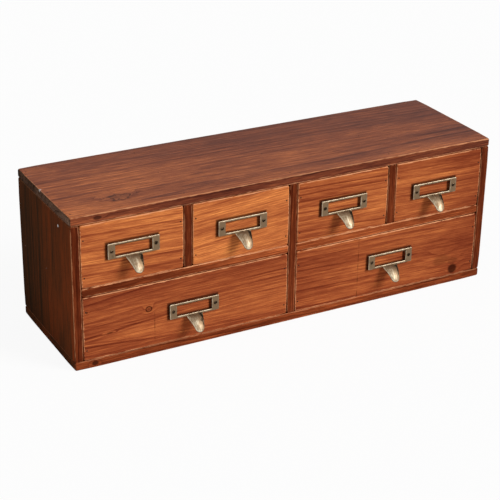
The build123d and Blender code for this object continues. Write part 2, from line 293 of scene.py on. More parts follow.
class CabinetWood(bpy.types.PropertyGroup):
    """Sizes and colours of the boards."""

    edge_radius: length("Edge radius", "Rounding along the edges of a board", 0.9 * MM)
    corner_radius: length("Corner radius", "Rounding at the corners of a board", 2.4 * MM)
    edge_wear: FloatProperty(
        name="Edge wear", description="How unevenly the edges have worn",
        default=0.45, subtype="FACTOR", min=0, max=1,
    )
    ring_pitch: length("Ring pitch", "Distance between growth rings", 8.5 * MM)
    worn_width: length("Worn width", "Width of the pale rubbed line along an edge", 1.8 * MM)
    frame_width: length("Frame width", "Width of the pull frames that the fronts carry", 70 * MM)
    seed: IntProperty(name="Seed", description="Choice of nicks and hollows along the edges", default=7)
    carcass_light: colour("Carcass light", "Carcass where the stain is thin", "A8562E")
    carcass_dark: colour("Carcass dark", "Carcass where the stain is deep", "4A1B0B")
    top_light: colour("Top light", "Top board where the stain is thin", "B8683C")
    top_dark: colour("Top dark", "Top board where the stain is deep", "6C3420")
    side_light: colour("Side light", "Side panels where the stain is thin", "8A3F20")
    side_dark: colour("Side dark", "Side panels where the stain is deep", "36281E")
    drawer_light: colour("Drawer light", "Fronts where the stain is thin", "D88246")
    drawer_dark: colour("Drawer dark", "Fronts where the stain is deep", "7A361F")
    bare_light: colour("Bare pine light", "Early wood of the drawer boxes", "E2BC88")
    bare_dark: colour("Bare pine dark", "Late wood of the drawer boxes", "A87848")
    plywood_light: colour("Plywood light", "Early wood of the veneer", "D8B380")
    plywood_dark: colour("Plywood dark", "Late wood of the veneer", "9C7446")
    rubbed_edge: colour("Rubbed edge", "Pale wood where the stain has rubbed off", "E29E70")
    end_light: colour("Sawn end light", "Grey brown of the sawn ends", "7C5F4E")
    end_dark: colour("Sawn end dark", "Stain soaked into the sawn ends", "3C2A20")
    # Pure white: the chip on the top board, and the painted glint of a brad head on the left side panel.
    pale_chip_and_glint: colour("Pale chip", "Bare wood in a chip", "FFFFFF")
    # Also the colour of the painted shadow and dirt round the pull frames.
    knot_seam_and_shadow_dark: colour("Knot heart", "Dark heart of a knot", "35140A")


class CabinetBrass(bpy.types.PropertyGroup):
    """Sizes and colours of the label pulls, their screws and the brads."""

    voxel: length("Casting grain", "Size of the faces of a cast pull", 0.42 * MM)
    softening: IntProperty(name="Softening", description="Passes that round the edges of a pull", default=5)
    patina: colour("Patina", "Grey brown of the aged brass", "7C664E")
    # Also the colour of the painted highlight on the tongue.
    bright_brass: colour("Bright brass", "Brass where hands have rubbed it", "C6B89E")
    # Also the colour of the painted shade on the pulls.
    dark_brass: colour("Dark brass", "Dirt in the hollows of the castings", "1E1710")
    steel: colour("Brad steel", "Dull steel of the brads", "3A2A20")
    wax: colour("Wax", "Brown wax over the brads of the carcass", "5A2E1A")
    brad_head: length("Brad head", "Width of a brad's head", 2.3 * MM)
    screw_head: length("Screw head", "Width of a pull screw's head", 5.0 * MM)
    screw_rise: length("Screw rise", "Height of the dome of a screw's head", 0.9 * MM)
    screw_slot: length("Screw slot", "Width of the slot in a screw's head", 1.8 * MM)


class CabinetStage(bpy.types.PropertyGroup):
    """Camera, lamps and floor."""

    azimuth: angle("Azimuth", "Turn of the camera about the cabinet", -28.566)
    elevation: angle("Elevation", "Height of the camera as an angle", 25.076)
    roll: angle("Roll", "Lean of the camera", 0.9235)
    lens: FloatProperty(name="Lens", description="Focal length of the camera", default=105.52, unit="CAMERA")
    distance: length("Distance", "From the camera to the cabinet's middle", 2.00155)
    aside: length("Aside", "How far the middle stands right of the view's", 0.013268)
    below: length("Below", "How far the middle stands below the view's", -0.034658)
    key_strength: FloatProperty(name="Key", description="Strength of the main lamp", default=2.68)
    fill_strength: FloatProperty(name="Fill", description="Strength of the lamp from the left", default=0.1)
    sky_strength: FloatProperty(name="Sky", description="Light from all round", default=0.25)
    floor_colour: FloatVectorProperty(
        name="Floor", description="Pale floor", default=(0.96, 0.96, 0.96), subtype="COLOR"
    )


class Wiring:
    """Adds nodes to a tree and joins each one to the values it takes."""

    def __init__(self, tree):
        self.tree = tree

    def add(self, kind, inputs=None, **settings):
        """A new node, with its settings and inputs filled in."""
        node = self.tree.nodes.new(kind)
        for key, value in settings.items():
            setattr(node, key, value)
        for key, value in (inputs or {}).items():
            if isinstance(value, bpy.types.NodeSocket):
                self.tree.links.new(value, node.inputs[key])
            else:
                node.inputs[key].default_value = value
        return node

    def out(self, kind, inputs=None, **settings):
        """The first output of a new node."""
        return self.add(kind, inputs, **settings).outputs[0]

    def math(self, operation, *values):
        """One number worked out from others."""
        return self.out("ShaderNodeMath", dict(enumerate(values)), operation=operation)

    def fold(self, operation, values):
        """One number worked out from several, two at a time."""
        result = values[0]
        for value in values[1:]:
            result = self.math(operation, result, value)
        return result

    def total(self, *values):
        """The sum of several numbers."""
        return self.fold("ADD", values)

    def product(self, *values):
        """The product of several numbers."""
        return self.fold("MULTIPLY", values)

    def largest(self, *values):
        """The largest of several numbers."""
        return self.fold("MAXIMUM", values)

    def vector(self, operation, *values):
        """One vector worked out from others."""
        return self.out("ShaderNodeVectorMath", dict(enumerate(values)), operation=operation)

    def length(self, vector):
        """The length of a vector."""
        return self.add("ShaderNodeVectorMath", {0: vector}, operation="LENGTH").outputs["Value"]

    def combine(self, *values):
        """A vector from three numbers."""
        return self.out("ShaderNodeCombineXYZ", dict(enumerate(values)))

    def separate(self, vector):
        """The three numbers of a vector."""
        return self.add("ShaderNodeSeparateXYZ", {0: vector}).outputs[:3]

    def step(self, value, start, end, low=0.0, high=1.0):
        """A number that goes smoothly from low to high while the value goes from start to end."""
        inputs = {"Value": value, "From Min": start, "From Max": end, "To Min": low, "To Max": high}
        return self.out("ShaderNodeMapRange", inputs, interpolation_type="SMOOTHSTEP")

    def noise(self, vector, scale, detail=2.0, seed=0.0, harshness=0.5):
        """Soft noise between 0 and 1, about 0.5."""
        stretched = self.vector("MULTIPLY", vector, scale)
        inputs = {"Vector": stretched, "W": seed, "Scale": 1.0, "Detail": detail, "Roughness": harshness}
        return self.out("ShaderNodeTexNoise", inputs, noise_dimensions="4D")

    def uneven(self, *noise):
        """Soft noise about zero."""
        return self.math("SUBTRACT", self.noise(*noise), 0.5)

    def number(self, name):
        """The number that the mesh keeps under a name."""
        return self.add("ShaderNodeAttribute", attribute_name=name).outputs["Fac"]

    def place(self, name):
        """The vector that the mesh keeps under a name."""
        return self.add("ShaderNodeAttribute", attribute_name=name).outputs["Vector"]

    def blend(self, share, *colours):
        """A colour between two others."""
        first, second = [c if isinstance(c, bpy.types.NodeSocket) else (*c, 1.0) for c in colours]
        return self.add("ShaderNodeMix", {0: share, 6: first, 7: second}, data_type="RGBA").outputs[2]


def shader(name):
    """A new empty material, with its wiring."""
    material = bpy.data.materials.new(name)
    material.use_nodes = True
    material.node_tree.nodes.clear()
    return material, Wiring(material.node_tree)


def end_shader(w, surface, roughness, bump, others):
    """Ends a material: its colour, roughness, bump (strength, depth and height) and other values."""
    strength, depth, height = bump
    normal = w.out("ShaderNodeBump", {"Strength": strength, "Distance": depth, "Height": height})
    inputs = {"Base Color": surface, "Roughness": roughness, "Normal": normal, **others}
    body = w.out("ShaderNodeBsdfPrincipled", inputs)
    w.add("ShaderNodeOutputMaterial", {"Surface": body})


def knot_marks(w, name):
    """Swelling of the rings, dark share and pale share round one knot; the pale share is a chip, and on the
    left side panel a painted glint of a brad head.
    """
    offset = w.place(name)
    depth = w.number(name + "_depth")
    uneven = w.uneven(offset, (1.6, 1.6, 1.6), 3.0)
    away = w.math("MULTIPLY_ADD", uneven, w.number(name + "_ragged"), w.length(offset))
    swell = w.step(away, 2.8, 0.5)
    disc = w.step(away, 1.1, 0.6)
    rim = w.step(w.math("ABSOLUTE", w.math("SUBTRACT", away, 0.86)), 0.24, 0.05)
    core = w.step(away, 0.45, 0.1, 0.0, 0.5)
    filled = w.product(disc, w.largest(depth, 0.0), 0.94)
    outlined = w.product(w.largest(rim, core), w.number(name + "_ring"))
    pale = w.product(disc, w.largest(w.product(depth, -1.0), 0.0))
    return swell, w.largest(filled, outlined), pale


def growth_rings(w, grain, swell, pitch):
    """Growth rings that wander and darken slowly to a thin line of late wood, and the stain of a flame."""
    wander = w.product(w.uneven(grain, (2.4, 9.0, 9.0)), 18 * MM)
    ripple = w.product(w.uneven(grain, (3.0, 75.0, 75.0), 2.0, 3.0), 9 * MM)
    drift = w.product(w.total(wander, ripple), w.number("wander"))
    _, across, through = w.separate(grain)
    taper = w.number("taper")
    even = w.math("SUBTRACT", w.length(w.combine(0.0, across, through)), taper)
    radius = w.total(even, drift, w.product(swell, 0.8 * pitch))
    count = w.math("DIVIDE", radius, pitch)
    within = w.math("FRACT", count)
    year = w.out("ShaderNodeTexWhiteNoise", {"W": w.math("FLOOR", count)}, noise_dimensions="1D")
    late = w.total(w.product(w.step(within, 0.0, 0.9), 0.5), w.step(within, 0.6, 0.9))
    patchy = w.step(w.noise(grain, (4.0, 22.0, 22.0), 2.0, 13.0), 0.35, 0.65, 0.3, 1.5)
    strength = w.product(patchy, w.math("MULTIPLY_ADD", year, 1.2, 0.2))
    ring = w.product(late, 0.7, w.step(within, 1.0, 0.93), strength)
    return ring, flame_stain(w, w.math("SUBTRACT", w.number("pale_heart"), radius), taper)


def flame_stain(w, inside, taper):
    """Thinner stain within a flame and a thin dark line round it, fading as the log narrows."""
    heart = w.step(inside, -0.8 * MM, 0.8 * MM)
    line = w.step(w.math("ABSOLUTE", inside), FLAME_LINE_WIDTH, 0.3 * MM)
    stain = w.math("SUBTRACT", w.product(line, FLAME_LINE), w.product(heart, PALE_HEART))
    return w.product(stain, w.step(taper, *FLAME_FADE, 1.0, 0.1))


def rubbed_share(w, grain, wood, worn):
    """How far the stain has rubbed off along the edges, in ragged stretches."""
    ragged = w.math("MULTIPLY_ADD", w.noise(grain, (90.0, 300.0, 300.0), 3.0, 8.0), 2.4, -0.5)
    width = w.product(w.largest(ragged, 0.02), wood.worn_width)
    rubbed = w.step(w.math("DIVIDE", w.number("edge"), width), 1.0, 0.5)
    stretch = w.step(w.noise(grain, (9.0, 30.0, 30.0), 2.0, 9.0), 0.3, 0.6, 0.5, 1.0)
    kept = w.math("MULTIPLY_ADD", w.number("end"), -1.0, 1.0)
    return w.product(rubbed, stretch, kept, worn)


def shadow_and_grime_share(w, wood):
    """Painted shadow with old polish and dirt in a narrow line round the frame of a pull, and painted shadow
    of its right lug and top bar on the wood inside the window.
    """
    aside, _, above = w.separate(w.place("from_pull"))
    outlines = (
        (*OUTER_SHADOW_AND_GRIME, wood.frame_width / 2, FRAME_HEIGHT / 2),
        (*INNER_SHADOW, wood.frame_width / 2 - LUG_WIDTH, FRAME_HEIGHT / 2 - BAR_HEIGHT),
    )
    lines = []
    for left, down, half_width, half_height in outlines:
        beyond_side = w.math("SUBTRACT", w.math("ABSOLUTE", w.total(aside, left)), half_width)
        beyond_top = w.math("SUBTRACT", w.math("ABSOLUTE", w.total(above, down)), half_height)
        lines.append(w.math("ABSOLUTE", w.largest(beyond_side, beyond_top)))
    return w.step(w.math("MINIMUM", *lines), *SHADOW_AND_GRIME_REACH, 0.0, SHADOW_AND_GRIME)


def seam_share(w, grain):
    """The dark line of a glue seam, broken along its length and soft at its ends."""
    aside, _, above = w.separate(w.place("from_seam"))
    line = w.step(w.math("ABSOLUTE", aside), *SEAM_LINE)
    past_end = w.math("SUBTRACT", w.math("ABSOLUTE", above), w.number("seam_reach"))
    broken = w.step(w.noise(grain, (20.0, 90.0, 90.0), 2.0, 12.0), 0.42, 0.6, 0.12, 0.75)
    return w.product(line, w.step(past_end, SEAM_END, -SEAM_END), broken)


def fine_grain(w, grain, streak, fibre):
    """Streaks and fibres with short strokes, dark dashes and pale flecks between them."""
    stroke = w.uneven(grain, (42.0, 600.0, 600.0), 4.0, 7.0, 0.75)
    dash = w.step(w.noise(grain, (16.0, 460.0, 460.0), 1.0, 6.0), 0.7, 0.8)
    fleck = w.step(w.noise(grain, (24.0, 520.0, 520.0), 1.0, 10.0), 0.7, 0.8)
    return w.total(streak, fibre, fibre, stroke, stroke, w.product(w.math("SUBTRACT", dash, fleck), 0.4))


def blotches(w, grain):
    """Broad bands and blotches of stain."""
    band = w.uneven(grain, (3.5, 40.0, 40.0), 3.0, 4.0)
    blotch = w.uneven(grain, (6.0, 16.0, 16.0), 3.0, 5.0)
    return w.product(w.total(band, blotch), w.number("wander"))


def pine(name, wood):
    """A pine finish: growth rings, fibres, blotched stain, knots, a glue seam and pale rubbed edges."""
    tint, finish = PINES[name]
    light, dark = getattr(wood, tint + "_light"), getattr(wood, tint + "_dark")
    material, w = shader(name)
    grain = w.place("grain")
    marks = [knot_marks(w, knot) for knot in KNOT_NAMES]
    swell, knotty, pale = [w.largest(*values) for values in zip(*marks)]
    ring, flame = growth_rings(w, grain, swell, wood.ring_pitch)
    streak = w.uneven(grain, (1.6, 520.0, 520.0), 2.0, 1.0)
    fibre = w.uneven(grain, (18.0, 1900.0, 1900.0), 3.0, 2.0)
    density = w.total(
        w.number("depth"),
        flame,
        w.product(ring, finish.ring),
        w.product(fine_grain(w, grain, streak, fibre), finish.streak),
        w.product(blotches(w, grain), finish.blotch),
    )
    soaked = [deep / thin for deep, thin in zip(dark, light)]
    film = w.out("ShaderNodeGamma", {"Color": (*soaked, 1.0), "Gamma": density})
    surface = w.vector("MULTIPLY", film, light)
    rubbed = rubbed_share(w, grain, wood, finish.worn)
    seam = seam_share(w, grain)
    surface = w.blend(rubbed, surface, wood.rubbed_edge)
    surface = w.blend(knotty, surface, wood.knot_seam_and_shadow_dark)
    surface = w.blend(seam, surface, wood.knot_seam_and_shadow_dark)
    # Pale chips, and the painted glint on the left side panel.
    surface = w.blend(pale, surface, wood.pale_chip_and_glint)
    # Painted shadow and dirt round the pull frame, in the dark colour of knots and seams.
    surface = w.blend(shadow_and_grime_share(w, wood), surface, wood.knot_seam_and_shadow_dark)
    roughness = w.total(finish.roughness, w.product(streak, 0.14), w.product(rubbed, 0.2))
    height = w.total(w.product(ring, 0.5), streak, fibre, w.product(seam, -0.8))
    end_shader(w, surface, roughness, (finish.bump, 0.35 * MM, height), {"Specular IOR Level": finish.gloss})
    return material


def wood_finish(name, wood):
    """The wood finish of that name, made when it is first asked for."""
    return bpy.data.materials.get(name) or pine(name, wood)


def brass_finish(brass):
    """Aged cast brass: bright where it is rubbed and where a highlight is painted, dark in its hollows and
    where shade is painted, pitted and mottled.
    """
    material, w = shader("cast_brass")
    place = w.add("ShaderNodeTexCoord").outputs["Object"]
    handled = w.number("handled")
    spots = w.product(w.uneven(place, (220.0,) * 3, 4.0), w.math("MULTIPLY_ADD", handled, -0.15, 0.55))
    brushed = w.product(w.uneven(place, (900.0, 110.0, 110.0), 3.0, 5.0), handled, 0.95)
    mottle = w.total(spots, brushed)
    speck = w.uneven(place, (1400.0,) * 3, 2.0, 3.0)
    # The worn number carries wear and dirt, with the painted highlight and painted shade of the pull.
    proud = w.total(w.number("worn"), w.product(mottle, 2.2), w.product(speck, 0.6))
    bright = w.step(proud, 0.15, 1.1)
    dirty_and_shaded = w.step(proud, -0.1, -0.55)
    surface = w.blend(bright, brass.patina, brass.bright_brass)
    surface = w.blend(w.product(dirty_and_shaded, 0.95), surface, brass.dark_brass)
    roughness = w.total(0.52, w.product(dirty_and_shaded, 0.2), w.product(speck, 0.2))
    height = w.total(mottle, w.product(speck, 0.6))
    end_shader(w, surface, roughness, (0.2, 0.2 * MM, height), {"Metallic": 1.0})
    return material


def dull_finish(name, clean, metallic):
    """A small dull head, darker in patches and slightly pitted."""
    material, w = shader(name)
    place = w.add("ShaderNodeTexCoord").outputs["Object"]
    mottle = w.noise(place, (700.0,) * 3, 3.0)
    grimy = tuple(0.35 * share for share in clean)
    surface = w.blend(w.step(mottle, 0.35, 0.65), clean, grimy)
    roughness = w.math("MULTIPLY_ADD", mottle, 0.3, 0.5)
    others = {"Metallic": metallic, "Specular IOR Level": 0.2}
    end_shader(w, surface, roughness, (0.3, 0.1 * MM, mottle), others)
    return material


def new_tree(name, inputs):
    """A geometry tree with named inputs, its wiring and the node that gives those inputs."""
    tree = bpy.data.node_groups.new(name, "GeometryNodeTree")
    for title, kind in inputs.items():
        tree.interface.new_socket(title, in_out="INPUT", socket_type="NodeSocket" + kind)
    tree.interface.new_socket("Geometry", in_out="OUTPUT", socket_type="NodeSocketGeometry")
    w = Wiring(tree)
    return tree, w, w.add("NodeGroupInput").outputs


def end_tree(w, geometry, material):
    """Ends a tree: instances made real, one material, and the output."""
    real = w.out("GeometryNodeRealizeInstances", {"Geometry": geometry})
    painted = w.out("GeometryNodeSetMaterial", {"Geometry": real, "Material": material})
    w.add("NodeGroupOutput", {"Geometry": painted})


def cut_block(w, shape, size, centre):
    """A shape with a block cut out of it."""
    block = w.out("GeometryNodeMeshCube", {"Size": size})
    block = w.out("GeometryNodeTransform", {"Geometry": block, "Translation": centre})
    return w.out("GeometryNodeMeshBoolean", {"Mesh 1": shape, "Mesh 2": block}, operation="DIFFERENCE")


def spread_rows(w, cells, size):
    """Where each corner of a cube of cells lies on a board, with rows of faces gathered at the edges."""
    rows = (EDGE_ROWS,) * 3
    zone = w.vector("MINIMUM", (EDGE_ZONE,) * 3, w.vector("MULTIPLY", size, (EDGE_ZONE_SHARE,) * 3))
    share = w.vector("ADD", w.out("GeometryNodeInputPosition"), (0.5,) * 3)
    cell = w.vector("MULTIPLY", share, cells)
    first = w.vector("DIVIDE", w.vector("MINIMUM", cell, rows), rows)
    inner = w.vector("SUBTRACT", cells, (2 * EDGE_ROWS,) * 3)
    middle = w.vector("DIVIDE", w.vector("SUBTRACT", cell, rows), inner)
    middle = w.vector("MINIMUM", w.vector("MAXIMUM", middle, (0,) * 3), (1,) * 3)
    last = w.vector("SUBTRACT", cell, w.vector("SUBTRACT", cells, rows))
    last = w.vector("DIVIDE", w.vector("MAXIMUM", last, (0,) * 3), rows)
    span = w.vector("SUBTRACT", size, w.vector("ADD", zone, zone))
    ends = w.vector("MULTIPLY", zone, w.vector("ADD", first, last))
    return w.vector("ADD", ends, w.vector("MULTIPLY", span, middle))


def uneven_radius(w, local, beside, ins):
    """Edge rounding that grows towards the corners and changes along the edge."""
    corner = w.step(w.total(*w.separate(beside)), *CORNER_REACH)
    spread = w.math("SUBTRACT", ins["Corner Radius"], ins["Edge Radius"])
    even = w.math("MULTIPLY_ADD", corner, spread, ins["Edge Radius"])
    ripple = w.math("MULTIPLY_ADD", w.noise(local, (55.0,) * 3, 2.0, ins["Seed"]), 2.0, -1.0)
    nick = w.step(w.noise(local, (120.0,) * 3, 1.0, ins["Seed"]), 0.66, 0.78)
    change = w.product(w.total(ripple, nick), ins["Wear"])
    return w.product(even, w.total(change, 1.0))


def round_edges(w, local, size, ins):
    """Places on a board, moved in where its worn edges are round."""
    beside = w.vector("MINIMUM", local, w.vector("SUBTRACT", size, local))
    wanted = uneven_radius(w, local, beside, ins)
    most = w.vector("MULTIPLY", size, (ROUND_SHARE,) * 3)
    radius = w.vector("MINIMUM", w.combine(wanted, wanted, wanted), most)
    held = w.vector("MINIMUM", w.vector("MAXIMUM", local, radius), w.vector("SUBTRACT", size, radius))
    outward = w.vector("NORMALIZE", w.vector("SUBTRACT", local, held))
    return w.vector("ADD", held, w.vector("MULTIPLY", outward, radius))


def board_tree(rebated):
    """A board between two corners, with rounded worn edges, and a rebate for the back panel if it has one."""
    inputs = {"Low": "Vector", "High": "Vector", "Cells X": "Int", "Cells Y": "Int", "Cells Z": "Int"}
    inputs.update({"Edge Radius": "Float", "Corner Radius": "Float", "Wear": "Float", "Seed": "Float"})
    inputs.update({"Rebate Low": "Vector", "Rebate High": "Vector", "Material": "Material"})
    tree, w, ins = new_tree("Rebated board" if rebated else "Worn board", inputs)
    counts = [ins["Cells " + axis] for axis in "XYZ"]
    grid = {"Vertices " + axis: w.math("ADD", count, 1.0) for axis, count in zip("XYZ", counts)}
    cube = w.out("GeometryNodeMeshCube", {"Size": (1, 1, 1), **grid})
    size = w.vector("SUBTRACT", ins["High"], ins["Low"])
    local = spread_rows(w, w.combine(*counts), size)
    place = w.vector("ADD", ins["Low"], round_edges(w, local, size, ins))
    board = w.out("GeometryNodeSetPosition", {"Geometry": cube, "Position": place})
    if rebated:
        low, high = ins["Rebate Low"], ins["Rebate High"]
        centre = w.vector("MULTIPLY", w.vector("ADD", high, low), (0.5,) * 3)
        board = cut_block(w, board, w.vector("SUBTRACT", high, low), centre)
    end_tree(w, board, ins["Material"])
    return tree


def placed_tree(name, inputs, shape):
    """A tree that puts one shape at each point of a mesh, turned to the point's own direction and angle."""
    tree, w, ins = new_tree(name, {"Points": "Geometry", **inputs, "Material": "Material"})
    out = w.out("GeometryNodeInputNamedAttribute", {"Name": "out"}, data_type="FLOAT_VECTOR")
    spin = w.out("GeometryNodeInputNamedAttribute", {"Name": "spin"}, data_type="FLOAT")
    turned = w.out("FunctionNodeAxisAngleToRotation", {"Axis": (0, 0, 1), "Angle": spin})
    aligned = w.out("FunctionNodeAlignRotationToVector", {"Vector": out}, axis="Z")
    turns = {"Rotation": aligned, "Rotate By": turned}
    facing = w.out("FunctionNodeRotateRotation", turns, rotation_space="LOCAL")
    copies = {"Points": ins["Points"], "Instance": shape(w, ins), "Rotation": facing}
    end_tree(w, w.out("GeometryNodeInstanceOnPoints", copies), ins["Material"])
    return tree


def flat_ball(w, segments, rings, width, height):
    """A ball of one width and another height."""
    ball = w.out("GeometryNodeMeshUVSphere", {"Segments": segments, "Rings": rings, "Radius": 0.5})
    scale = w.combine(width, width, height)
    return w.out("GeometryNodeTransform", {"Geometry": ball, "Scale": scale})


def brad_shape(w, ins):
    """A brad's head, slightly domed."""
    return flat_ball(w, 12, 6, ins["Head"], w.product(ins["Head"], BRAD_FLATNESS))


def screw_shape(w, ins):
    """A screw's domed head with its slot."""
    dome = flat_ball(w, 28, 14, ins["Head"], w.product(ins["Rise"], 2.0))
    slot = w.combine(w.product(ins["Head"], 1.5), ins["Slot"], w.product(ins["Rise"], 1.7))
    return cut_block(w, dome, slot, w.combine(0.0, 0.0, w.product(ins["Rise"], 1.05)))


def add_object(name, data):
    """A new object in the scene."""
    thing = bpy.data.objects.new(name, data)
    bpy.context.scene.collection.objects.link(thing)
    return thing


def final_mesh(thing):
    """A plain mesh of an object as its modifiers leave it."""
    return bpy.data.meshes.new_from_object(thing.evaluated_get(bpy.context.evaluated_depsgraph_get()))


def grow(name, tree, values, points=None):
    """Evaluates a tree with its inputs set, and keeps the result as a plain mesh object."""
    piece = add_object(name, points or bpy.data.meshes.new(name + "_seed"))
    modifier = piece.modifiers.new("Shape", "NODES")
    modifier.node_group = tree
    sockets = {item.name: item.identifier for item in tree.interface.items_tree if item.in_out == "INPUT"}
    for title, value in values.items():
        modifier[sockets[title]] = value
    mesh = final_mesh(piece)
    piece.modifiers.remove(modifier)
    piece.data = mesh
    mesh.name = name
    while mesh.materials and mesh.materials[0] is None:
        mesh.materials.pop(index=0)
    if not mesh.polygons:
        raise RuntimeError(f"{name} came out empty")
    return piece


def settle(piece, body, slot, *nodes):
    """Smooth shading, the body that carries the piece and the nodes it stands for; its slot is not used."""
    piece.data.shade_smooth()
    piece.data.set_sharp_from_angle(angle=SMOOTH_ANGLE)
    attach(piece, body)
    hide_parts(*nodes)


def rows_of(items, field):
    """A vector of each item of a mesh, as the rows of an array."""
    flat = np.zeros(len(items) * 3)
    items.foreach_get(field, flat)
    return flat.reshape(-1, 3)


def corners_of(mesh):
    """The places of a mesh's corners."""
    return rows_of(mesh.vertices, "co")


def normals_of(mesh):
    """The directions of a mesh's corners."""
    return rows_of(mesh.vertex_normals, "vector")


def keep(mesh, name, values):
    """Stores a number or a vector for each corner of a mesh, or one number for all of them."""
    values = np.asarray(values, np.float32)
    if values.ndim == 0:
        values = np.full(len(mesh.vertices), values)
    single = values.ndim == 1
    layer = mesh.attributes.new(name, "FLOAT" if single else "FLOAT_VECTOR", "POINT")
    layer.data.foreach_set("value" if single else "vector", values.ravel())


def mark_cut(mesh, low, high, cut):
    """Stores where each corner of a board was in its log, and how near it is to an edge or a sawn end."""
    points = corners_of(mesh)
    beside = np.sort(np.minimum(points - low, high - points), axis=1)
    keep(mesh, "edge", np.maximum(beside[:, 1], 0))
    across = 3 - cut.grain - cut.through
    log = (points - (low + high) / 2)[:, (cut.grain, across, cut.through)]
    turns = [Matrix.Rotation(math.radians(degrees), 3, axis) for degrees, axis in zip(cut.lean, "ZY")]
    grain = log @ np.array(turns[0] @ turns[1]).T + np.array(cut.heart)
    taper, wander, heart = cut.flame
    keep(mesh, "grain", grain)
    keep(mesh, "taper", taper * TAPER_RUN * np.tanh(grain[:, 0] / TAPER_RUN))
    keep(mesh, "wander", wander)
    keep(mesh, "pale_heart", heart)
    keep(mesh, "end", np.interp(np.abs(normals_of(mesh)[:, cut.grain]), END_FACING, (0, 1)))


def mark_stain(mesh, low, high, cut):
    """Stores how deep the stain is at each corner of a board, and where its pull, seam and knots are."""
    points = corners_of(mesh)
    lip = cut.lip * np.clip(-normals_of(mesh)[:, Y], 0, 1)
    share = (points - (low + high) / 2) / (high - low)
    stain = share @ np.array(cut.fade, float) + (2 * share) ** 2 @ np.array(cut.rim, float)
    keep(mesh, "depth", cut.depth + lip + stain)
    keep(mesh, "from_pull", points - np.array(cut.pull))
    seam_x, seam_low, seam_high = cut.seam
    keep(mesh, "from_seam", points - np.array((seam_x, 0, (seam_low + seam_high) / 2)))
    keep(mesh, "seam_reach", (seam_high - seam_low) / 2)
    for name, knot in zip(KNOT_NAMES, (*cut.knots, NO_KNOT, NO_KNOT, NO_KNOT)):
        offset = (points - np.array(knot.place)) / knot.size
        offset[:, cut.grain] /= knot.length
        keep(mesh, name, offset)
        for look in ("depth", "ring", "ragged"):
            keep(mesh, f"{name}_{look}", getattr(knot, look))


def make_board(node, body, slot, finish, cut, rebate=None):
    """One board in place of its node."""
    wood = bpy.context.scene.cabinet_wood
    low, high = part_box(node)
    name = "Rebated board" if rebate else "Worn board"
    tree = bpy.data.node_groups.get(name) or board_tree(bool(rebate))
    cells = [2 * EDGE_ROWS + max(1, round(side / FACE_PITCH)) for side in high - low]
    values = {"Low": low, "High": high, "Material": wood_finish(finish, wood)}
    values.update({"Cells " + axis: count for axis, count in zip("XYZ", cells)})
    values.update({"Edge Radius": wood.edge_radius, "Corner Radius": wood.corner_radius})
    values.update({"Wear": wood.edge_wear, "Seed": wood.seed + 10.0 * sum(low)})
    if rebate:
        values.update({"Rebate Low": rebate[0], "Rebate High": rebate[1]})
    piece = grow(node + "_plank", tree, values)
    mark_cut(piece.data, np.array(low), np.array(high), cut)
    mark_stain(piece.data, np.array(low), np.array(high), cut)
    if node in OTHER_FACES:
        other, axis = OTHER_FACES[node]
        piece.data.materials.append(wood_finish(other, wood))
        for face in piece.data.polygons:
            face.material_index = int(abs(face.normal[axis]) > OTHER_FACING)
    settle(piece, body, slot, node)


def merged_copy(node):
    """A working copy of a node's mesh, with its loose triangles joined."""
    work = bmesh.new()
    work.from_mesh(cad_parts[node].data)
    bmesh.ops.remove_doubles(work, verts=work.verts, dist=MERGE_WITHIN)
    return work


def loose_solids(node):
    """The corner places of each separate solid in a node."""
    solids = []
    work = merged_copy(node)
    waiting = set(work.verts)
    while waiting:
        group = []
        edge_of_group = [waiting.pop()]
        while edge_of_group:
            vert = edge_of_group.pop()
            group.append(vert.co[:])
            for other in (edge.other_vert(vert) for edge in vert.link_edges):
                if other in waiting:
                    waiting.remove(other)
                    edge_of_group.append(other)
        solids.append(np.array(group))
    work.free()
    return sorted(solids, key=lambda solid: solid.mean(0).round(5).tolist())


def heads_of(node):
    """Where the head of each fastener in a node is, and which way it faces."""
    heads = []
    for solid in loose_solids(node):
        low, high = solid.min(0), solid.max(0)
        axis = int(np.argmax(high - low))
        depth = (high[axis] - low[axis]) * HEAD_SLICE
        start = solid[solid[:, axis] < low[axis] + depth]
        end = solid[solid[:, axis] > high[axis] - depth]
        at_start = np.ptp(start, axis=0).sum() > np.ptp(end, axis=0).sum()
        out = np.zeros(3)
        out[axis] = -1.0 if at_start else 1.0
        place = (low + high) / 2
        place[axis] = low[axis] if at_start else high[axis]
        heads.append((place, out))
    return heads


def head_points(node, stands, turns):
    """Where the heads of a node's fasteners go, and a mesh of those points with directions and turns."""
    heads = heads_of(node)
    places = [place + out * stands for place, out in heads]
    mesh = bpy.data.meshes.new(node + "_points")
    mesh.from_pydata([tuple(place) for place in places], [], [])
    keep(mesh, "out", [out for _, out in heads])
    keep(mesh, "spin", [math.radians(turns[number % len(turns)]) for number in range(len(heads))])
    return places, mesh


def cast_pull(brass):
    """One label pull about its own middle, with softened edges, marked where it is rubbed and dirty, where a
    highlight is painted and where shade is painted.
    """
    node = SMALL_DRAWERS[0] + "_label_pull"
    low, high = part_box(node)
    work = merged_copy(node)
    bmesh.ops.translate(work, verts=work.verts, vec=-(low + high) / 2)
    mesh = bpy.data.meshes.new("pull_pattern")
    work.to_mesh(mesh)
    work.free()
    pattern = add_object("pull_pattern", mesh)
    remesh = pattern.modifiers.new("Cast", "REMESH")
    remesh.mode = "VOXEL"
    remesh.voxel_size = brass.voxel
    smooth = pattern.modifiers.new("Soften", "SMOOTH")
    smooth.factor = 0.5
    smooth.iterations = brass.softening
    cast = final_mesh(pattern)
    bpy.data.objects.remove(pattern)
    mark_wear_and_shade(cast, (high - low)[Y] / 2)
    return cast


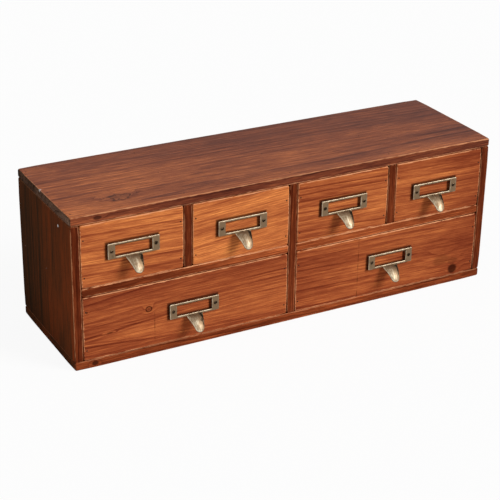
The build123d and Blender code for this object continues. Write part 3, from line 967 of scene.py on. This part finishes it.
def mark_wear_and_shade(cast, back):
    """Stores how much each corner of a pull is handled, and how bright or dirty that leaves it, with a
    painted highlight on the tongue and painted shade beside the wood, on faces that look right or down and on
    the tongue's right side.
    """
    points, facing = corners_of(cast), normals_of(cast)
    inward = points[:, Y]
    handled = np.sqrt(np.clip((back - FRAME_DEPTH - inward) / (2 * back - FRAME_DEPTH), 0, 1))
    beside_wood = np.clip((inward - back + DIRT_AND_SHADE_DEPTH) / DIRT_AND_SHADE_DEPTH, 0, 1)
    # Painted shade: faces that look right or down, the walls where the casting meets the wood, and the right
    # side of the tongue.
    turned_away = np.clip(facing[:, X], 0, 1) + np.clip(-facing[:, Z], 0, 1)
    on_tongue = np.interp(handled, TONGUE_START, (0, 1))
    far_side = on_tongue * np.interp(points[:, X], TONGUE_LIT, (0, 1))
    dirt_and_shade = WOOD_DIRT_AND_SHADE * beside_wood + TURNED_AWAY_SHADE * turned_away + TONGUE_SIDE_SHADE * far_side
    keep(cast, "handled", handled)
    # The worn number holds rubbed ridges, the painted highlight of the tongue, dirt and painted shade.
    keep(cast, "worn", proudness(cast) + RUBBED_SHINE_AND_HIGHLIGHT * handled - dirt_and_shade)


def proudness(mesh, passes=3):
    """How far each corner stands proud of its neighbours, above zero on ridges and below zero in hollows."""
    points = corners_of(mesh)
    pairs = np.zeros(len(mesh.edges) * 2, np.int32)
    mesh.edges.foreach_get("vertices", pairs)
    pairs = np.concatenate([pairs.reshape(-1, 2), pairs.reshape(-1, 2)[:, ::-1]])
    count = np.bincount(pairs[:, 0], minlength=len(points))

    def mean_beside(values):
        """The mean of a number over each corner's neighbours."""
        return np.bincount(pairs[:, 0], values[pairs[:, 1]], len(points)) / np.maximum(count, 1)

    around = np.stack([mean_beside(points[:, axis]) for axis in (X, Y, Z)], axis=1)
    stand = np.einsum("ij,ij->i", points - around, normals_of(mesh))
    for _ in range(passes):
        stand = (stand + mean_beside(stand)) / 2
    ridge = np.percentile(np.abs(stand), RIDGE_PERCENT) + 1e-12
    return np.clip(stand / ridge, -RIDGE_LIMIT, RIDGE_LIMIT)


def mark_slot_shade_and_head_dirt(mesh, places, brass):
    """Stores how dark each face of some screws is: black painted shade in the slots, dull dirt on the domes.
    """
    centres = rows_of(mesh.polygons, "center")
    head_dirt_slot_shade = np.full(len(mesh.polygons), DULL_HEAD, np.float32)
    for place in places:
        offset = centres - place
        aside = np.hypot(offset[:, X], offset[:, Z]) / (brass.screw_head / 2)
        dome = brass.screw_rise * np.sqrt(np.clip(1 - aside**2, 0, 1))
        # Painted shade: the faces of the slot go black.
        head_dirt_slot_shade[(-offset[:, Y] > 0) & (-offset[:, Y] < dome - SLOT_BEGINS)] = SHADED_SLOT
    mesh.attributes.new("worn", "FLOAT", "FACE").data.foreach_set("value", head_dirt_slot_shade)


class CABINET_OT_carcass_boards(bpy.types.Operator):
    """Build the nine carcass boards and the plywood back"""

    bl_idname = "cabinet.carcass_boards"
    bl_label = "Carcass boards"

    def execute(self, context):
        low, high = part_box("back_panel")
        slack = Vector((REBATE_SLACK, REBATE_SLACK, REBATE_SLACK))
        rebate = (low - slack, high + slack + Vector((0, REBATE_RUN_OUT, 0)))
        for node, cut in CARCASS_CUTS.items():
            finish = BOARD_FINISHES.get(node, "edge_pine")
            make_board(node, "carcass", "stained_pine", finish, cut, rebate if node in REBATED else None)
        make_board("back_panel", "carcass", "plywood", "plywood_veneer", BACK_CUT)
        return {"FINISHED"}


class CABINET_OT_drawer_fronts(bpy.types.Operator):
    """Build the six drawer fronts"""

    bl_idname = "cabinet.drawer_fronts"
    bl_label = "Drawer fronts"

    def execute(self, context):
        for drawer, cut in FRONT_CUTS.items():
            low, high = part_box(drawer + "_label_pull")
            pull = ((low[X] + high[X]) / 2, high[Y], high[Z] - FRAME_HEIGHT / 2)
            make_board(drawer + "_front", drawer, "drawer_pine", "front_pine", cut._replace(pull=pull))
        return {"FINISHED"}


class CABINET_OT_drawer_boxes(bpy.types.Operator):
    """Build the sides, rears and bottoms of the drawers"""

    bl_idname = "cabinet.drawer_boxes"
    bl_label = "Drawer boxes"

    def execute(self, context):
        for number, drawer in enumerate(DRAWERS):
            for board, (slot, finish, cut) in BOX_BOARDS.items():
                heart = (NEXT_ALONG * number, *cut.heart[1:])
                make_board(f"{drawer}_{board}", drawer, slot, finish, cut._replace(heart=heart))
        return {"FINISHED"}


class CABINET_OT_label_pulls(bpy.types.Operator):
    """Cast the label pulls and place one on each drawer"""

    bl_idname = "cabinet.label_pulls"
    bl_label = "Label pulls"

    def execute(self, context):
        brass = context.scene.cabinet_brass
        finish = brass_finish(brass)
        cast = cast_pull(brass)
        cast.materials.clear()
        cast.materials.append(finish)
        for drawer in DRAWERS:
            low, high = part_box(drawer + "_label_pull")
            mesh = cast.copy()
            mesh.transform(Matrix.Translation((low + high) / 2))
            piece = add_object(drawer + "_cast_pull", mesh)
            settle(piece, drawer, "aged_brass", drawer + "_label_pull")
        return {"FINISHED"}


class CABINET_OT_pull_screws(bpy.types.Operator):
    """Drive two slotted screws into each label pull"""

    bl_idname = "cabinet.pull_screws"
    bl_label = "Pull screws"

    def execute(self, context):
        brass = context.scene.cabinet_brass
        inputs = {"Head": "Float", "Rise": "Float", "Slot": "Float"}
        tree = placed_tree("Slotted screws", inputs, screw_shape)
        values = {"Head": brass.screw_head, "Rise": brass.screw_rise, "Slot": brass.screw_slot}
        values["Material"] = bpy.data.materials["cast_brass"]
        for number, drawer in enumerate(DRAWERS):
            node = drawer + "_pull_screws"
            turns = [SLOT_TURNS[(number + 2 * side) % 3] for side in range(2)]
            places, points = head_points(node, -SCREW_SET_BACK, turns)
            piece = grow(drawer + "_slotted_screws", tree, values, points)
            mark_slot_shade_and_head_dirt(piece.data, places, brass)
            settle(piece, drawer, "aged_brass", node)
        return {"FINISHED"}


class CABINET_OT_brads(bpy.types.Operator):
    """Set the brads of the carcass and the drawers, and the pins of the back"""

    bl_idname = "cabinet.brads"
    bl_label = "Brads and pins"

    def execute(self, context):
        brass = context.scene.cabinet_brass
        tree = placed_tree("Brad heads", {"Head": "Float"}, brad_shape)
        steel = dull_finish("browned_steel", brass.steel, 0.6)
        waxed = dull_finish("waxed_brads", brass.wax, 0.0)
        sets = [("carcass", "carcass_brads", waxed), ("carcass", "back_panel_pins", steel)]
        sets += [(drawer, drawer + "_brads", steel) for drawer in DRAWERS]
        for body, node, finish in sets:
            _, points = head_points(node, BRAD_STANDS, (0,))
            piece = grow(node + "_heads", tree, {"Head": brass.brad_head, "Material": finish}, points)
            settle(piece, body, "steel", node)
        return {"FINISHED"}


def aim_camera(stage):
    """The camera at the photograph's angle, with the cabinet's middle where it stands in the frame."""
    middle = Vector((0, 0, CAD_BOX[1][Z] / 2))
    turn, climb = stage.azimuth, stage.elevation
    back = Vector((math.sin(turn) * math.cos(climb), -math.cos(turn) * math.cos(climb), math.sin(climb)))
    level = (-back).cross(Vector((0, 0, 1))).normalized()
    above = level.cross(-back)
    right = math.cos(stage.roll) * level + math.sin(stage.roll) * above
    up = math.cos(stage.roll) * above - math.sin(stage.roll) * level
    camera = add_object("camera", bpy.data.cameras.new("camera"))
    camera.data.lens = stage.lens
    camera.data.sensor_width = SENSOR_WIDTH
    place = middle - right * stage.aside + up * stage.below + back * stage.distance
    turned = Matrix((right, up, back)).transposed().to_4x4()
    camera.matrix_world = Matrix.Translation(place) @ turned
    bpy.context.scene.camera = camera


def add_lamp(name, strength, towards, softness):
    """A broad soft lamp whose light travels in one direction."""
    lamp = add_object(name, bpy.data.lights.new(name, "SUN"))
    lamp.data.energy = strength
    lamp.data.angle = math.radians(softness)
    lamp.rotation_euler = Vector(towards).to_track_quat("-Z", "Y").to_euler()


def seen_directly(w):
    """One for rays that show the background itself, in the view, in metal or through glass."""
    path = w.add("ShaderNodeLightPath").outputs
    return w.largest(path["Is Glossy Ray"], path["Is Transmission Ray"], path["Is Camera Ray"])


def white_sky(stage):
    """A white background that lights the cabinet softly from all round."""
    world = bpy.data.worlds.new("white_sky")
    world.use_nodes = True
    world.node_tree.nodes.clear()
    w = Wiring(world.node_tree)
    strength = w.out("ShaderNodeMapRange", {"Value": seen_directly(w), "To Min": stage.sky_strength})
    sky = w.out("ShaderNodeBackground", {"Color": (1, 1, 1, 1), "Strength": strength})
    w.add("ShaderNodeOutputWorld", {"Surface": sky})
    bpy.context.scene.world = world


def pale_floor(stage):
    """A pale floor that goes to white and keeps a soft shadow."""
    work = bmesh.new()
    bmesh.ops.create_grid(work, x_segments=8, y_segments=8, size=FLOOR_REACH)
    mesh = bpy.data.meshes.new("floor")
    work.to_mesh(mesh)
    work.free()
    mesh.transform(Matrix.Translation((0, 0, -FLOOR_DROP)))
    material, w = shader("pale_floor")
    matt = w.out("ShaderNodeBsdfDiffuse", {"Color": (*stage.floor_colour, 1.0)})
    glow = w.out("ShaderNodeEmission", {"Color": (1, 1, 1, 1), "Strength": 1.0})
    share = w.product(seen_directly(w), FLOOR_GLOW)
    mixed = w.out("ShaderNodeMixShader", {0: share, 1: matt, 2: glow})
    w.add("ShaderNodeOutputMaterial", {"Surface": mixed})
    mesh.materials.append(material)
    floor = add_object("floor", mesh)


class CABINET_OT_stage(bpy.types.Operator):
    """Set the floor, the lamps, the white background and the camera"""

    bl_idname = "cabinet.stage"
    bl_label = "Stage"

    def execute(self, context):
        stage = context.scene.cabinet_stage
        pale_floor(stage)
        white_sky(stage)
        add_lamp("key", stage.key_strength, *KEY_LIGHT)
        add_lamp("fill", stage.fill_strength, *FILL_LIGHT)
        aim_camera(stage)
        context.scene.view_settings.view_transform = "Standard"
        return {"FINISHED"}


STEPS = (
    CABINET_OT_carcass_boards,
    CABINET_OT_drawer_fronts,
    CABINET_OT_drawer_boxes,
    CABINET_OT_label_pulls,
    CABINET_OT_pull_screws,
    CABINET_OT_brads,
    CABINET_OT_stage,
)
SETTINGS = {"cabinet_wood": CabinetWood, "cabinet_brass": CabinetBrass, "cabinet_stage": CabinetStage}


class CABINET_PT_steps(bpy.types.Panel):
    """Lists the steps that build the cabinet, and their settings"""

    bl_idname = "CABINET_PT_steps"
    bl_label = "Drawer cabinet"
    bl_space_type = "VIEW_3D"
    bl_region_type = "UI"
    bl_category = "Cabinet"

    def draw(self, context):
        for step in STEPS:
            self.layout.operator(step.bl_idname)
        for name, group in SETTINGS.items():
            box = self.layout.box()
            for setting in group.__annotations__:
                box.prop(getattr(context.scene, name), setting)


def register():
    """Makes the settings, the steps and the panel known to Blender."""
    for name, group in SETTINGS.items():
        bpy.utils.register_class(group)
        setattr(bpy.types.Scene, name, PointerProperty(type=group))
    for kind in (*STEPS, CABINET_PT_steps):
        bpy.utils.register_class(kind)


def unregister():
    """Takes the panel, the steps and the settings away again."""
    for kind in (CABINET_PT_steps, *reversed(STEPS)):
        bpy.utils.unregister_class(kind)
    for name, group in SETTINGS.items():
        delattr(bpy.types.Scene, name)
        bpy.utils.unregister_class(group)


def main():
    """Runs every step in order."""
    register()
    bpy.ops.cabinet.carcass_boards()
    bpy.ops.cabinet.drawer_fronts()
    bpy.ops.cabinet.drawer_boxes()
    bpy.ops.cabinet.label_pulls()
    bpy.ops.cabinet.pull_screws()
    bpy.ops.cabinet.brads()
    bpy.ops.cabinet.stage()


if __name__ == "__main__":
    main()
